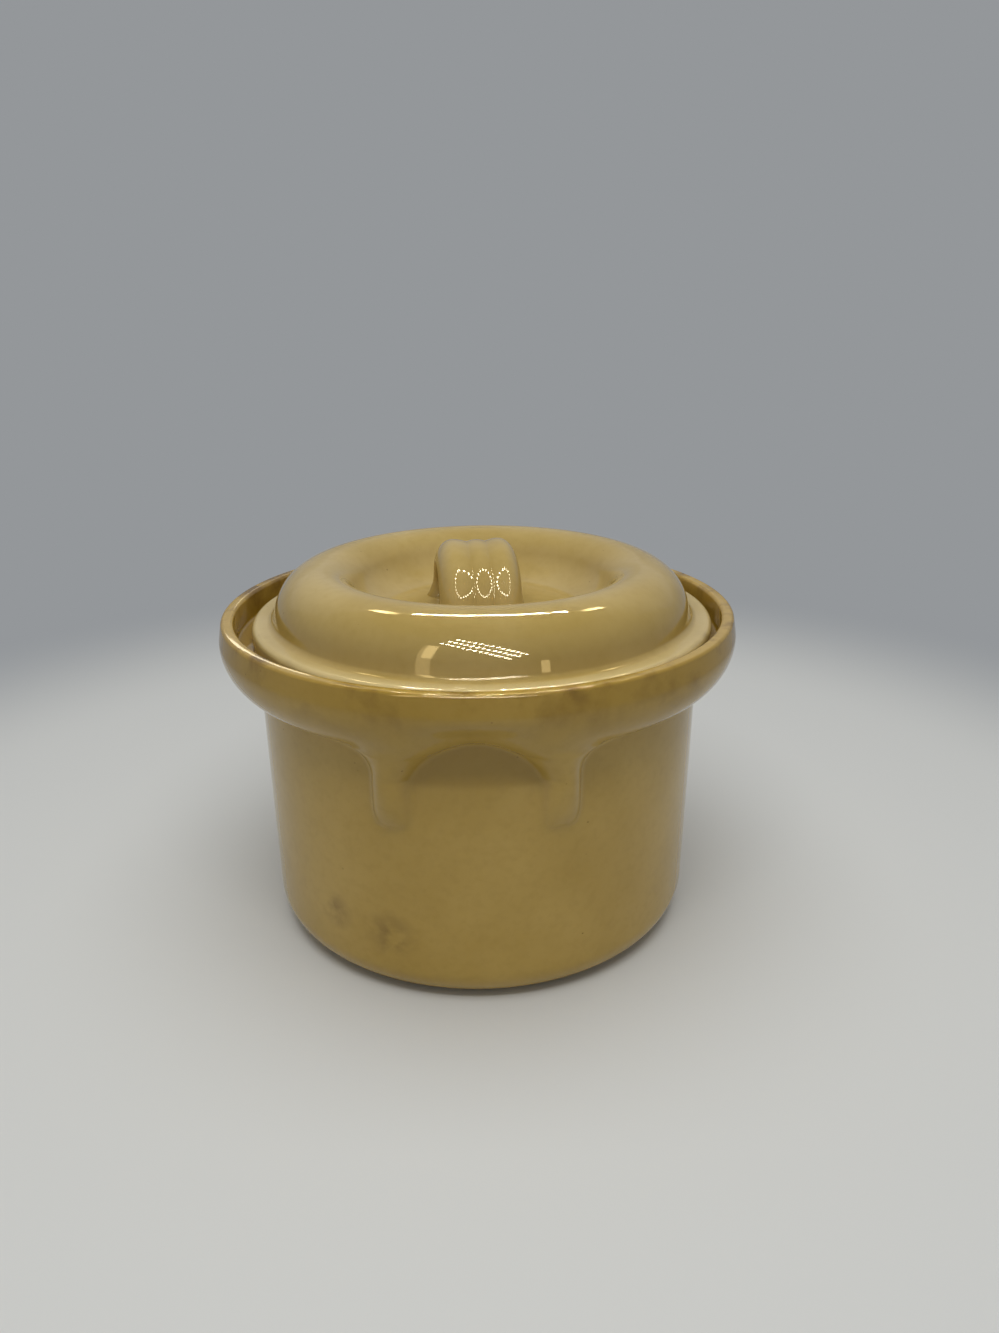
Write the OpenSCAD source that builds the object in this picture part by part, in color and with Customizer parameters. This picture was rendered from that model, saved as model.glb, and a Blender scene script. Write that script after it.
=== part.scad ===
// Small lidded stoneware crock: a straight-sided pot with a heavy rolled collar, a pair of
// lug grips under the collar, and a loose lid that drops into the gallery inside the lip.
// Millimetres. +Z is up, -Y is the front, and the origin is the middle of the foot on the table.

/* [Pot] */
// How far the wall draws in on its way down from the collar to the base rounding
wall_taper = 0.8; // [0:0.1:4]
// Thickness of the wall
wall_t = 5; // [3.5:0.25:8]
// Thickness of the pot's floor, measured up from the table
floor_t = 6.5; // [4:0.25:10]
// Outside rounding between the wall and the foot
base_round = 9; // [5:0.5:14]
// Inside rounding between the wall and the floor
inside_round = 12; // [4:0.5:20]
// Width of the flat foot ring
foot_w = 5; // [3:0.5:10]
// Depth of the hollow inside the foot ring
foot_hollow = 1.5; // [0.5:0.25:2.5]

/* [Collar] */
// Width across the collar, the widest part of the pot
collar_d = 136; // [130:0.5:142]
// How far the collar stands out from the wall under it
collar_over = 9.5; // [6:0.1:10.5]
// Height of the lip above the table
lip_z = 85.2; // [76:0.2:110]
// Thickness of the lip
lip_t = 4; // [3:0.1:6]
// Height of the collar's upright band, from its roll to the top of the lip
band_h = 5.4; // [4:0.2:9]
// Radius of the roll under the band
collar_roll = 12.4; // [10.6:0.2:16]
// Depth of the gallery below the lip, where the lid sits
gallery_depth = 7.2; // [5.4:0.2:9]
// Rounding in the corner of the gallery
gallery_round = 1; // [0.4:0.1:2]
// Rounding on the edge of the pot's mouth
mouth_round = 1.5; // [0.5:0.1:2.5]

/* [Lug grips] */
// Distance between the middles of a grip's two legs
leg_spacing = 38.6; // [32:0.2:48]
// Width of each leg
leg_w = 9; // [6:0.2:12]
// How far the legs reach below the crease under the collar
leg_drop = 17.8; // [15:0.2:26]
// How far the legs stand out from the wall at their toes
leg_depth = 3.3; // [2:0.1:5]
// Rounding at the corners of the toes
toe_round = 3.5; // [1:0.1:5]
// Height of the arch between the legs, from its springing to its crown
arch_h = 9.6; // [6:0.2:13]
// How far the crown of the arch is cut up past the crease
arch_rise = 2.7; // [1:0.1:4]
// Radius of the flare where a leg's outer side runs out into the collar
flare_round = 10; // [6:0.5:14]
// Angle that the flare turns through
flare_turn = 55; // [30:1:70]
// How far the grip's face has dived inside the collar at the top of the roll
face_set = 0.5; // [0.2:0.1:2]

/* [Lid] */
// Gap all round between the lid's flange and the collar
lid_clearance = 3.3; // [1.8:0.1:5]
// How far to the right of the pot's middle the loose lid has been set down
lid_shift = 1.1; // [-1.4:0.1:1.4]
// Thickness of the flange that sits in the gallery
flange_t = 5.5; // [3.6:0.1:6]
// Rounding on both edges of the flange
flange_round = 1.6; // [0.5:0.1:1.7]
// Width of the flange's ledge, from its edge to the foot of the raised ring
ledge_w = 5.3; // [4:0.1:8]
// Height of the crest above the gallery floor
crest_h = 18.7; // [16:0.2:26]
// Radius of the ring's outer shoulder
shoulder_round = 12.6; // [8:0.2:13]
// Lean of the ring's outer side from upright, in degrees
shoulder_lean = 15; // [0:1:25]
// Radius of the fillet between the ring and the flange
flange_fillet = 1.8; // [0.5:0.1:2.5]
// Radius of the ring's inner edge, at the top of the well
rim_round = 9; // [6.6:0.2:10]
// Height of the well's flat floor above the gallery floor
well_h = 6; // [3:0.2:7]
// Thickness of the lid's shell
lid_t = 5; // [3.5:0.1:6]

/* [Strap handle] */
// Height of the strap above the floor of the well, which is the outer radius of its half-round arch
strap_h = 18.2; // [15:0.2:21]
// Width of the strap
strap_w = 21.3; // [16:0.2:26]
// Thickness of the strap
strap_t = 6.2; // [5.4:0.2:8]
// Rounding along the strap's edges
strap_edge = 2.2; // [1:0.1:2.6]
// Depth of the two grooves that run along the strap
groove_depth = 0.6; // [0.3:0.1:1.6]
// Turn of the strap away from front to back, in degrees
strap_turn = 7; // [-30:0.5:30]
// How far to the right of the lid's middle the strap was set
strap_shift = -1.5; // [-3:0.2:3]
// Flat floor left round the strap's feet before the side of the well begins to rise
strap_seat = 0.6; // [0.2:0.1:3]

/* [Hidden] */
$fn = 96;
// Steps in each large arc of an outline, in each small rounding and in each lobe of the strap
arc_steps = 10;
edge_steps = 5;
lobe_steps = 8;
// Shares of the strap's width at which its three lobes begin and end
lobe_shares = [0, 0.38, 0.605, 1];
// Largest share of a thickness that the rounding on one of its edges may take
edge_share = 0.48;
// Largest share of the well's side that the rounding of its rim may take
rim_share = 0.8;
// Extra length that carries a cut past the face it starts from
overrun = 1;
pot_glaze = "#8d763f";
lid_glaze = "#a68f57";

// Pot and collar
collar_r = collar_d / 2;
wall_high_r = collar_r - collar_over;
wall_low_r = wall_high_r - wall_taper;
foot_r = wall_low_r - base_round;
band_z = lip_z - band_h;
roll_centre = [collar_r - collar_roll, band_z];
crease_angle = -acos((wall_high_r - roll_centre.x) / collar_roll);
crease_z = band_z + collar_roll * sin(crease_angle);
lip_round = lip_t / 2;
gallery_r = collar_r - lip_t;
gallery_z = lip_z - gallery_depth;
mouth_r = wall_high_r - wall_t;
inside_r = wall_low_r - wall_t;

// Lug grips
toe_z = crease_z - leg_drop;
leg_in = (leg_spacing - leg_w) / 2;
leg_out = (leg_spacing + leg_w) / 2;
toe_corner = min(toe_round, edge_share * leg_w);
crown_z = crease_z + arch_rise;
arch_r = (pow(leg_in, 2) + pow(arch_h, 2)) / (2 * arch_h);
arch_angle = asin(leg_in / arch_r);
arch_centre = [0, crown_z - arch_r];
flare_z = crease_z - flare_round * sin(flare_turn);
flare_end = [leg_out + flare_round * (1 - cos(flare_turn)), crease_z];
flare_run = (band_z - crease_z) * tan(flare_turn);

// Lid
lid_r = gallery_r - lid_clearance;
flange_z = gallery_z + flange_t;
flange_corner = min(flange_round, edge_share * flange_t);
crest_z = gallery_z + crest_h;
well_z = gallery_z + well_h;
shoulder_z = crest_z - shoulder_round;
side_h = shoulder_z + shoulder_round * sin(shoulder_lean) - flange_z;
shoulder_reach = shoulder_round * cos(shoulder_lean) + side_h * tan(shoulder_lean);
crest_r = lid_r - ledge_w - shoulder_reach;
shoulder_centre = [crest_r, shoulder_z];
strap_side = strap_w / 2;
well_r = norm([strap_h, strap_side]) + abs(strap_shift) + strap_seat;
well_depth = crest_z - well_z;
// Sum of the two radii, floor's and rim's, that make the side of the well
side_round = (pow(crest_r - well_r, 2) + pow(well_depth, 2)) / (2 * well_depth);
rim_r = min(rim_round, rim_share * side_round);
rim_centre = [crest_r, crest_z - rim_r];
well_round = side_round - rim_r;
well_centre = [well_r, well_z + well_round];
dish_angle = asin((rim_centre.y - well_centre.y) / side_round);
fillet_turn = 90 + shoulder_lean;
fillet_reach = flange_fillet / tan(fillet_turn / 2);
fillet_centre = [side_r(shoulder_round, flange_z) + fillet_reach, flange_z + flange_fillet];

// Strap handle
strap_in = strap_h - strap_t;
strap_out = strap_h - groove_depth;
strap_corner = min(strap_edge, edge_share * (strap_t - groove_depth));

// Points along an arc, from angle a to angle b
function arc(centre, radius, a, b, n = arc_steps) =
    [for (i = [0 : n]) centre + radius * [cos(a + (b - a) * i / n), sin(a + (b - a) * i / n)]];

// Points of an outline and their mirror image across the upright axis
function both_sides(points) =
    concat(points, [for (i = [len(points) - 1 : -1 : 0]) [-points[i].x, points[i].y]]);

// Radius of the ring's leaning side at height z, for a shoulder of the given radius
function side_r(radius, z) =
    let (end = shoulder_centre + radius * [cos(shoulder_lean), sin(shoulder_lean)])
    end.x + (end.y - z) * tan(shoulder_lean);

// Points of one lobe of the strap between two places across its width
function lobe(from, to, n = lobe_steps) =
    let (half = (to - from) / 2, bow = (pow(half, 2) + pow(groove_depth, 2)) / (2 * groove_depth))
    [for (i = [0 : n])
        let (place = half * (2 * i / n - 1))
        [strap_h - bow + sqrt(pow(bow, 2) - pow(place, 2)), from + half + place]];

// Outside of the pot, from the foot up to the top of the roll
pot_outside = concat(
    arc([foot_r, base_round], base_round, -90, 0),
    arc(roll_centre, collar_roll, crease_angle, 0));

// Inside of the pot, from the lip down to the middle of the floor
pot_inside = concat(
    arc([collar_r - lip_round, lip_z - lip_round], lip_round, 0, 180),
    arc([gallery_r - gallery_round, gallery_z + gallery_round], gallery_round, 0, -90, edge_steps),
    arc([mouth_r + mouth_round, gallery_z - mouth_round], mouth_round, 90, 180, edge_steps),
    arc([inside_r - inside_round, floor_t + inside_round], inside_round, 0, -90),
    [[0, floor_t]]);

// The straight wall carried on up through the collar
wall_outline = [
    [0, 0], [wall_low_r, 0], [wall_low_r, base_round],
    [wall_high_r, crease_z], [wall_high_r, gallery_z], [0, gallery_z]];

// Right half of a grip's front outline, from the crown of its arch round to the collar
grip_side = concat(
    arc(arch_centre, arch_r, 90, 90 - arch_angle),
    arc([leg_in + toe_corner, toe_z + toe_corner], toe_corner, 180, 270, edge_steps),
    arc([leg_out - toe_corner, toe_z + toe_corner], toe_corner, 270, 360, edge_steps),
    arc([leg_out + flare_round, flare_z], flare_round, 180, 180 - flare_turn),
    [flare_end + [flare_run, band_z - crease_z]]);

// Opening between a grip's legs, from the crown down past the toes
arch_side = concat(
    arc(arch_centre, arch_r, 90, 90 - arch_angle),
    [[leg_in, toe_z - overrun]]);

// Face of a grip, a cone that leans from the toes out to the collar
face_outline = [
    [0, toe_z - overrun], [wall_high_r + leg_depth, toe_z - overrun], [wall_high_r + leg_depth, toe_z],
    [collar_r - face_set, band_z], [0, band_z]];

// Top of the lid, from the middle of the well out over the ring to the flange
lid_top = concat(
    [[0, well_z]],
    arc(well_centre, well_round, -90, dish_angle),
    arc(rim_centre, rim_r, 180 + dish_angle, 90),
    arc(shoulder_centre, shoulder_round, 90, shoulder_lean),
    arc(fillet_centre, flange_fillet, 180 + shoulder_lean, 270, edge_steps));

// Underside of the lid, from the flange's edge back to the middle
lid_under = concat(
    arc([lid_r - flange_corner, flange_z - flange_corner], flange_corner, 90, 0, edge_steps),
    arc([lid_r - flange_corner, gallery_z + flange_corner], flange_corner, 0, -90, edge_steps),
    [[side_r(shoulder_round - lid_t, gallery_z), gallery_z]],
    arc(shoulder_centre, shoulder_round - lid_t, shoulder_lean, 90),
    arc(rim_centre, rim_r - lid_t, 90, 180 + dish_angle),
    arc(well_centre, well_round + lid_t, dish_angle, -90),
    [[0, well_z - lid_t]]);

// Section of the strap: flat inside, three lobes outside, rounded edges
strap_section = concat(
    arc([strap_in + strap_corner, strap_corner - strap_side], strap_corner, 180, 270, edge_steps),
    arc([strap_out - strap_corner, strap_corner - strap_side], strap_corner, 270, 360, edge_steps),
    [for (i = [0 : 2]) each lobe(lobe_place(lobe_shares[i]), lobe_place(lobe_shares[i + 1]))],
    arc([strap_out - strap_corner, strap_side - strap_corner], strap_corner, 0, 90, edge_steps),
    arc([strap_in + strap_corner, strap_side - strap_corner], strap_corner, 90, 180, edge_steps));

// Place of a share of the strap's lobed width, measured from its middle
function lobe_place(share) = (strap_side - strap_corner) * (2 * share - 1);

module turned(outline) {
    rotate_extrude() polygon(outline);
}

// A front outline, in X and Z, carried forward from the axis to past the collar
module forward(outline) {
    rotate([90, 0, 0]) linear_extrude(height = collar_r + overrun) polygon(outline);
}

// The space between a grip's legs, as deep as the pot wall
module arch_space() {
    difference() {
        forward(both_sides(arch_side));
        turned(wall_outline);
    }
}

module pot_body() {
    color(pot_glaze) difference() {
        turned(concat([[0, foot_hollow], [foot_r - foot_w, foot_hollow], [foot_r - foot_w, 0]],
            pot_outside, pot_inside));
        arch_space();
        rotate([0, 0, 180]) arch_space();
    }
}

module lug_grip() {
    color(pot_glaze) difference() {
        intersection() {
            forward(both_sides(grip_side));
            turned(face_outline);
        }
        turned(concat([[0, 0]], pot_outside, [[0, band_z]]));
    }
}

module front_lug_grip() {
    lug_grip();
}

module rear_lug_grip() {
    rotate([0, 0, 180]) lug_grip();
}

module lid_shell() {
    color(lid_glaze) translate([lid_shift, 0, 0]) turned(concat(lid_top, lid_under));
}

module lid_strap_handle() {
    color(lid_glaze) translate([lid_shift + strap_shift, 0, well_z])
        rotate([90, 0, 90 + strap_turn]) rotate_extrude(angle = 180) polygon(strap_section);
}

pot_body();
front_lug_grip();
rear_lug_grip();
lid_shell();
lid_strap_handle();
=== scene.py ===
# %% [markdown]
# # A lidded salt crock in glazed stoneware
# The object is a small straight-sided pot with a heavy rolled collar, lug grips under the collar
# and a loose lid with a strap handle in its well. The frame brings in the measured solids, and this
# lesson dresses them: each piece is remade as one smooth skin of glaze, then lit and photographed.

# %% Load the frame
import math

import bmesh
import bpy
import numpy as np
from mathutils import Matrix, Vector


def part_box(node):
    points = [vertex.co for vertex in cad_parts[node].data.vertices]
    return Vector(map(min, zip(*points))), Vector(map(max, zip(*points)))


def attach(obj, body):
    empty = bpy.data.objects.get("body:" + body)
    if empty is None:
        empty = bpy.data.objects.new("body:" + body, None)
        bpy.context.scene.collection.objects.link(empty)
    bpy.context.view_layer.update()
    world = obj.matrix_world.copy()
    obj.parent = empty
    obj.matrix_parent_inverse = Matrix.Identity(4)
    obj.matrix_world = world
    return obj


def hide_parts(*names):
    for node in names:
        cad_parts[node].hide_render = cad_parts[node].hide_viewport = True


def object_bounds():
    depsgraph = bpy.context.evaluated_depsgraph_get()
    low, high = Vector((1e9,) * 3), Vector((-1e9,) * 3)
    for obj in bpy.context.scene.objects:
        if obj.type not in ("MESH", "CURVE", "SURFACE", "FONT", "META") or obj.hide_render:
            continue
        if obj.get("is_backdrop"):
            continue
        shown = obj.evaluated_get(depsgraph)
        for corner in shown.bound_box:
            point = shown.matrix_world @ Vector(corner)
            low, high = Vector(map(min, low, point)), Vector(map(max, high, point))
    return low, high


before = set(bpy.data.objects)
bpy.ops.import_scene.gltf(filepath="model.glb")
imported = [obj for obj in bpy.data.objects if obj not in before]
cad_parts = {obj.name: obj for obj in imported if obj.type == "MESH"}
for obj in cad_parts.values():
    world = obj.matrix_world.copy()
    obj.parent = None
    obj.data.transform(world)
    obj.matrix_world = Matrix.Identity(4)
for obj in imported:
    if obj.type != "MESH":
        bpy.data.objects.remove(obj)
cad_low, cad_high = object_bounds()
MM = 0.001
print("solids in the frame:", sorted(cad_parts))
print("box of the solids, mm:", [round(s / MM, 1) for s in cad_high - cad_low])

# %% [markdown]
# ## Camera
# The pot was looked at from close by, a little above its lid. A short lens so near makes the front
# loom and the sides fall away, so the camera stands at the real distance and not further off with a
# longer lens. Its turn, dip and tilt are written as angles and made into a matrix by hand, because
# three axes in a matrix leave no doubt about the order of the turns.

# %% Camera
IMAGE_W, IMAGE_H = 999, 1333
FOCAL_PX = 1000
SENSOR_W = 36
camera_place = Vector((4.5, -257.8, 162.4)) * MM
camera_heading = math.radians(0.25)
camera_dip = math.radians(20.36)
camera_tilt = math.radians(-0.35)
nearest_seen = 10

ahead = Vector((math.sin(camera_heading) * math.cos(camera_dip),
                math.cos(camera_heading) * math.cos(camera_dip),
                -math.sin(camera_dip)))
level = Vector((math.cos(camera_heading), -math.sin(camera_heading), 0))
upright = level.cross(ahead)
right = level * math.cos(camera_tilt) + upright * math.sin(camera_tilt)
up = upright * math.cos(camera_tilt) - level * math.sin(camera_tilt)
camera = bpy.data.objects.new("camera", bpy.data.cameras.new("camera"))
camera.data.sensor_width = SENSOR_W
camera.data.lens = SENSOR_W * FOCAL_PX / max(IMAGE_W, IMAGE_H)
camera.data.clip_start = nearest_seen * MM
camera_axes = Matrix((right, up, -ahead)).transposed()
camera.matrix_world = Matrix.Translation(camera_place) @ camera_axes.to_4x4()
bpy.context.scene.collection.objects.link(camera)
bpy.context.scene.camera = camera
print("lens, mm:", round(camera.data.lens, 1))

# %% [markdown]
# ## Outlines
# A pot is a turned thing, so most of its shape is one outline carried round an axis. An outline here
# is a list of points, radius and height in millimetres. Round stretches come from `arc`, small
# corners from `corner`, and `fill` adds points along the straights, because a long thin face would
# shade badly next to a small one.

# %% Helpers for outlines
def arc(centre, radius, start, end, steps=12):
    """Points along an arc, with angles in degrees."""
    angles = np.radians(np.linspace(start, end, steps + 1))
    return [(centre[0] + radius * math.cos(a), centre[1] + radius * math.sin(a)) for a in angles]


def corner(before, at, after, radius, steps=6):
    """Points of the arc that rounds the corner at one point of an outline."""
    at = Vector(at)
    back, on = (Vector(before) - at).normalized(), (Vector(after) - at).normalized()
    half = back.angle(on) / 2
    centre = at + (back + on).normalized() * radius / math.sin(half)
    start = at + back * radius / math.tan(half) - centre
    end = at + on * radius / math.tan(half) - centre
    sweep = start.angle_signed(end)
    return [tuple(centre + Matrix.Rotation(-sweep * i / steps, 2) @ start) for i in range(steps + 1)]


def fill(points, gap):
    """The same outline with points no further apart than gap."""
    filled = [points[0]]
    for a, b in zip(points, points[1:]):
        pieces = max(1, math.ceil(math.dist(a, b) / gap))
        along = np.array(b) - np.array(a)
        filled += [tuple(np.array(a) + along * i / pieces) for i in range(1, pieces + 1)]
    return filled


quarter_circle = arc((0, 0), 1, 0, 90)
print("points in a quarter circle:", len(quarter_circle))

# %% [markdown]
# ## Sizes of the pot
# What the solids already know is read from their boxes: how wide the collar is, where the lip and
# the gallery lie, how low the grips reach. They could be typed again here, but a size that is
# written twice soon disagrees. The rest are the pot's own wall, roll and roundings.

# %% Sizes of the pot
pot_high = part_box("pot_body")[1] / MM
lid_low, lid_high = (corner_point / MM for corner_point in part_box("lid_shell"))
grip_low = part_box("front_lug_grip")[0] / MM

collar_r = max(pot_high.x, pot_high.y)
lip_z = pot_high.z
gallery_z = lid_low.z
toe_z = grip_low.z
collar_over, collar_roll = 9.5, 12.4
wall_t, wall_taper = 5, 0.8
floor_t, inside_round = 6.5, 12
base_round = 9
foot_w, foot_hollow, foot_edge = 5, 1.5, 0.5
lip_t, lip_round = 4, 0.9
band_h, band_round, band_lean = 5.4, 7, 10
crease_fillet = 1.1
small_round, mouth_round = 1, 1.5

wall_high_r = collar_r - collar_over
wall_low_r = wall_high_r - wall_taper
foot_r = wall_low_r - base_round
foot_in = foot_r - foot_w
band_z = lip_z - band_h
roll_r = collar_r - collar_roll
gallery_r = collar_r - lip_t
mouth_r = wall_high_r - wall_t
inside_r = wall_low_r - wall_t
print("collar, lip, gallery and toes, mm:", [round(s, 2) for s in (collar_r, lip_z, gallery_z, toe_z)])

# %% [markdown]
# ## Outline of the pot, outside
# The outline starts in the middle of the foot, runs out under the pot, up the wall, round the collar
# and up a band that leans in towards the lip. A bevel on sharp corners would round them all alike,
# so each rounding is drawn. Glaze fills every sharp inner corner, so the crease where wall and collar
# meet gets a small fillet, tangent to both. Points lie close together where the grips will be raised.

# %% Outline of the pot, outside
fine_gap, wide_gap, foot_gap = 0.35, 2.5, 10
fine_below = 3
base_steps, fillet_steps, roll_steps, band_steps = 16, 5, 34, 6

fillet_r = wall_high_r + crease_fillet
fillet_z = band_z - math.sqrt((collar_roll + crease_fillet) ** 2 - (fillet_r - roll_r) ** 2)
fillet_turn = math.degrees(math.atan2(band_z - fillet_z, roll_r - fillet_r))
fine_z = toe_z - fine_below
fine_start = (wall_low_r + wall_taper * fine_z / fillet_z, fine_z)
band_arc = arc((collar_r - band_round, band_z), band_round, 0, band_lean, band_steps)
underneath = [(0, foot_hollow)]
underneath += corner((0, foot_hollow), (foot_in, foot_hollow), (foot_in, 0), foot_edge)
underneath += corner((foot_in, foot_hollow), (foot_in, 0), (foot_r, 0), foot_edge)
pot_outside = (
    fill(underneath, foot_gap)
    + arc((foot_r, base_round), base_round, -90, 0, base_steps)
    + fill([(wall_low_r, base_round), fine_start], wide_gap)[1:]
    + fill([fine_start, (wall_high_r, fillet_z)], fine_gap)[1:]
    + arc((fillet_r, fillet_z), crease_fillet, 180, fillet_turn, fillet_steps)[1:]
    + arc((roll_r, band_z), collar_roll, fillet_turn - 180, 0, roll_steps)[1:]
    + band_arc[1:])
print("points outside:", len(pot_outside))

# %% [markdown]
# ## Outline of the pot, inside
# From the band it goes on over a narrow lip, down to the gallery that carries the lid, over the
# gallery's edge and down to the middle of the floor. A modifier that gives thickness would copy the
# collar's roll inside, where the real pot is straight, so the inside has an outline of its own.

# %% Outline of the pot, inside
inside_gap = 7.5
lip_steps, floor_steps = 8, 14

band_top = band_arc[-1]
lip_edge = (band_top[0] - (lip_z - band_top[1]) * math.tan(math.radians(band_lean)), lip_z)
pot_inside = (
    corner(band_top, lip_edge, (gallery_r, lip_z), lip_round, lip_steps)
    + corner(lip_edge, (gallery_r, lip_z), (gallery_r, gallery_z), lip_round, lip_steps)
    + corner((gallery_r, lip_z), (gallery_r, gallery_z), (mouth_r, gallery_z), small_round)
    + corner((gallery_r, gallery_z), (mouth_r, gallery_z), (mouth_r, floor_t), mouth_round)
    + arc((inside_r - inside_round, floor_t + inside_round), inside_round, 0, -90, floor_steps)
    + [(0, floor_t)])
pot_outline = pot_outside + fill(pot_inside, inside_gap)
print("points in the pot's outline:", len(pot_outline))

# %% [markdown]
# ## Sizes of a lug grip
# On the real pot each grip is a pressed piece of clay, two legs and an arch, luted on under the
# collar, and the glaze then softens every join until collar and legs flow together. It could be a
# separate mesh blended with a modifier, but a seam would show in the gloss. Here the grip is a field
# instead: one distance says how far a point lies inside the edge that collar and legs share.

# %% Sizes of a lug grip
leg_in, leg_out, leg_depth = 14.8, 23.8, 2.6
toe_round, toe_slope, toe_drop = 2, 0.35, 2.6
arch_h, arch_rise = 9.6, 2.7
edge_slope, face_set = 0.7, 0.5
crease_reach, arch_reach, face_reach, leg_reach = 7, 2, 1.5, 4
band_fade = 6
# painted shade: how far the darkened wall under each arch reaches in, out and down
arch_shade_in, arch_shade_out, arch_shade_drop = 1, 1.5, 2.5
fillet_samples, roll_samples = 24, 72

grip_reach = leg_out + 2 * crease_reach
crease_z = band_z - math.sqrt(collar_roll ** 2 - (wall_high_r - roll_r) ** 2)
crown_z = crease_z + arch_rise
spring_z = crown_z - arch_h
arch_r = (leg_in ** 2 + arch_h ** 2) / (2 * arch_h)
arch_z = crown_z - arch_r
swell = (arc((fillet_r, fillet_z), crease_fillet, 180, fillet_turn, fillet_samples)
         + arc((roll_r, band_z), collar_roll, fillet_turn - 180, 0, roll_samples)[1:])
swell_out, swell_up = (np.array(swell) - (wall_high_r, crease_z)).T
print("arch radius and crown height, mm:", round(arch_r, 2), round(crown_z, 2))

# %% [markdown]
# ## Lug grips as a swelling of the collar
# The skin swells out from the grip's edge with the collar's own roundness, as far as the grip's
# leaning face. Two distances meet in a sharp corner when the smaller one is taken, so `soft_min`
# rounds that corner, as glaze does. Sculpting would give the same flow, but not the same sizes.

# %% Field of a lug grip
def ramp(value, low, high):
    """0 below low, 1 above high and a smooth rise between."""
    share = np.clip((value - low) / (high - low), 0, 1)
    return share * share * (3 - 2 * share)


def soft_min(a, b, reach):
    """The smaller of two distances, with the corner between them rounded over reach."""
    blend = np.maximum(reach - np.abs(a - b), 0)
    return np.minimum(a, b) - blend * blend / (4 * reach)


def push_grips(radius, height, angle):
    """The pot's radius with a grip raised in front and behind, and the painted shade under each arch."""
    x = np.abs(radius * np.cos(angle))
    legs = soft_min(edge_slope * (leg_out - x), toe_slope * (height - toe_z + toe_drop), toe_round)
    joined = -soft_min(-legs, crease_z - height, crease_reach)
    in_arch = np.where(height > spring_z, np.hypot(x, height - arch_z) - arch_r, x - leg_in)
    inside = soft_min(joined, edge_slope * in_arch, arch_reach)
    wall = wall_low_r + wall_taper * np.clip((height - base_round) / (fillet_z - base_round), 0, 1)
    lean = (height - toe_z) / (band_z - toe_z)
    face = wall_high_r + leg_depth + (collar_r - face_set - wall_high_r - leg_depth) * lean
    body = -soft_min(-radius - face_reach, -face, face_reach) - wall
    rounding = np.interp(height, [toe_z, crease_z], [leg_reach, face_reach])
    raised = wall + soft_min(np.interp(inside, swell_up, swell_out), body, rounding)
    raised += (radius - raised) * ramp(height, band_z - band_fade, band_z)
    near = (height > fine_z) & (height < band_z) & (x < grip_reach)
    # painted shade: the wall under each arch is darkened where the collar's shadow falls
    pool_and_shade = ramp(-in_arch, -arch_shade_out, arch_shade_in) * ramp(height, spring_z - arch_shade_drop, spring_z) * near
    return np.where(near, np.maximum(raised, wall), radius), pool_and_shade


leg_middle = math.acos((leg_in + leg_out) / 2 / wall_high_r)
leg_raised = push_grips(wall_high_r, crease_z, leg_middle)[0]
print("a leg stands out from the wall at the crease, mm:", round(float(leg_raised) - wall_high_r, 2))

# %% [markdown]
# ## Meshes from arrays
# `new_piece` hands points and faces to Blender as one smooth mesh, `ring_faces` joins rings of points
# by four-sided faces, and `mark` stores a number at every point, such as how much pooled glaze or
# painted shade lies there. Marks could be painted by hand, but numbers worked out from the shape
# follow it exactly.

# %% Helpers for meshes
def new_piece(name, points, faces):
    """A smooth-shaded mesh object from points in millimetres, with its faces turned outwards."""
    mesh = bpy.data.meshes.new(name)
    mesh.from_pydata([tuple(p) for p in np.asarray(points) * MM], [], faces)
    turned_out = bmesh.new()
    turned_out.from_mesh(mesh)
    bmesh.ops.recalc_face_normals(turned_out, faces=turned_out.faces)
    turned_out.to_mesh(mesh)
    turned_out.free()
    mesh.shade_smooth()
    piece = bpy.data.objects.new(name, mesh)
    bpy.context.scene.collection.objects.link(piece)
    return piece


def ring_faces(rings, columns):
    """Faces between rings that follow each other, each ring closed and with as many points."""
    here = np.arange(rings * columns).reshape(rings, columns)
    beside = np.roll(here, -1, axis=1)
    return np.stack([here[:-1], beside[:-1], beside[1:], here[1:]], axis=-1).reshape(-1, 4).tolist()


def mark(piece, name, values):
    """Stores one number for each point of a piece, for its material to read."""
    attribute = piece.data.attributes.new(name, "FLOAT", "POINT")
    attribute.data.foreach_set("value", values.astype(np.float32))


print("faces between two rings of three points:", ring_faces(2, 3))

# %% [markdown]
# ## Turning an outline into a mesh
# `spin` carries an outline round its axis. Blender's Screw or Spin would do it too, but here each
# ring's radius may change with the angle, for the grips and for the slight out-of-round that every
# hand-finished pot has, so the grid is worked out in arrays. The first and last points of an outline
# lie on the axis and become single points, so the skin is closed.

# %% Spin
wander_size = 0.06
wander_waves = [(2, 1, 1), (3, 0.6, 2.1), (5, 0.3, 1)]


def out_of_round(radius, angle, phase):
    """A slow wander of the radius inwards, in waves that have a count, a share and a lag."""
    wander = sum(share * np.sin(count * angle + lag * phase) for count, share, lag in wander_waves)
    return radius * (1 + wander_size * (wander - np.abs(wander).max()) / collar_r)


def point_order(values):
    """Numbers given by row and column, in the order of a spun skin's points: rings, then both ends."""
    return np.concatenate([values[1:-1].ravel(), [values[0, 0], values[-1, 0]]])


def spin(name, radius, height, angles, middle=0):
    """A closed skin from rings of radius and height, one row for each point of an outline."""
    rows, columns = radius.shape
    places = middle + radius * np.cos(angles), radius * np.sin(angles), height + 0 * radius
    points = np.stack([point_order(values) for values in places], axis=-1)
    rings = rows - 2
    first, last = rings * columns, rings * columns + 1
    faces = ring_faces(rings, columns)
    for c in range(columns):
        d = (c + 1) % columns
        faces.append((first, d, c))
        faces.append((last, (rings - 1) * columns + c, (rings - 1) * columns + d))
    return new_piece(name, points, faces)


print("order of the points for four rows of two:", point_order(np.arange(8).reshape(4, 2)).tolist())

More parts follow.
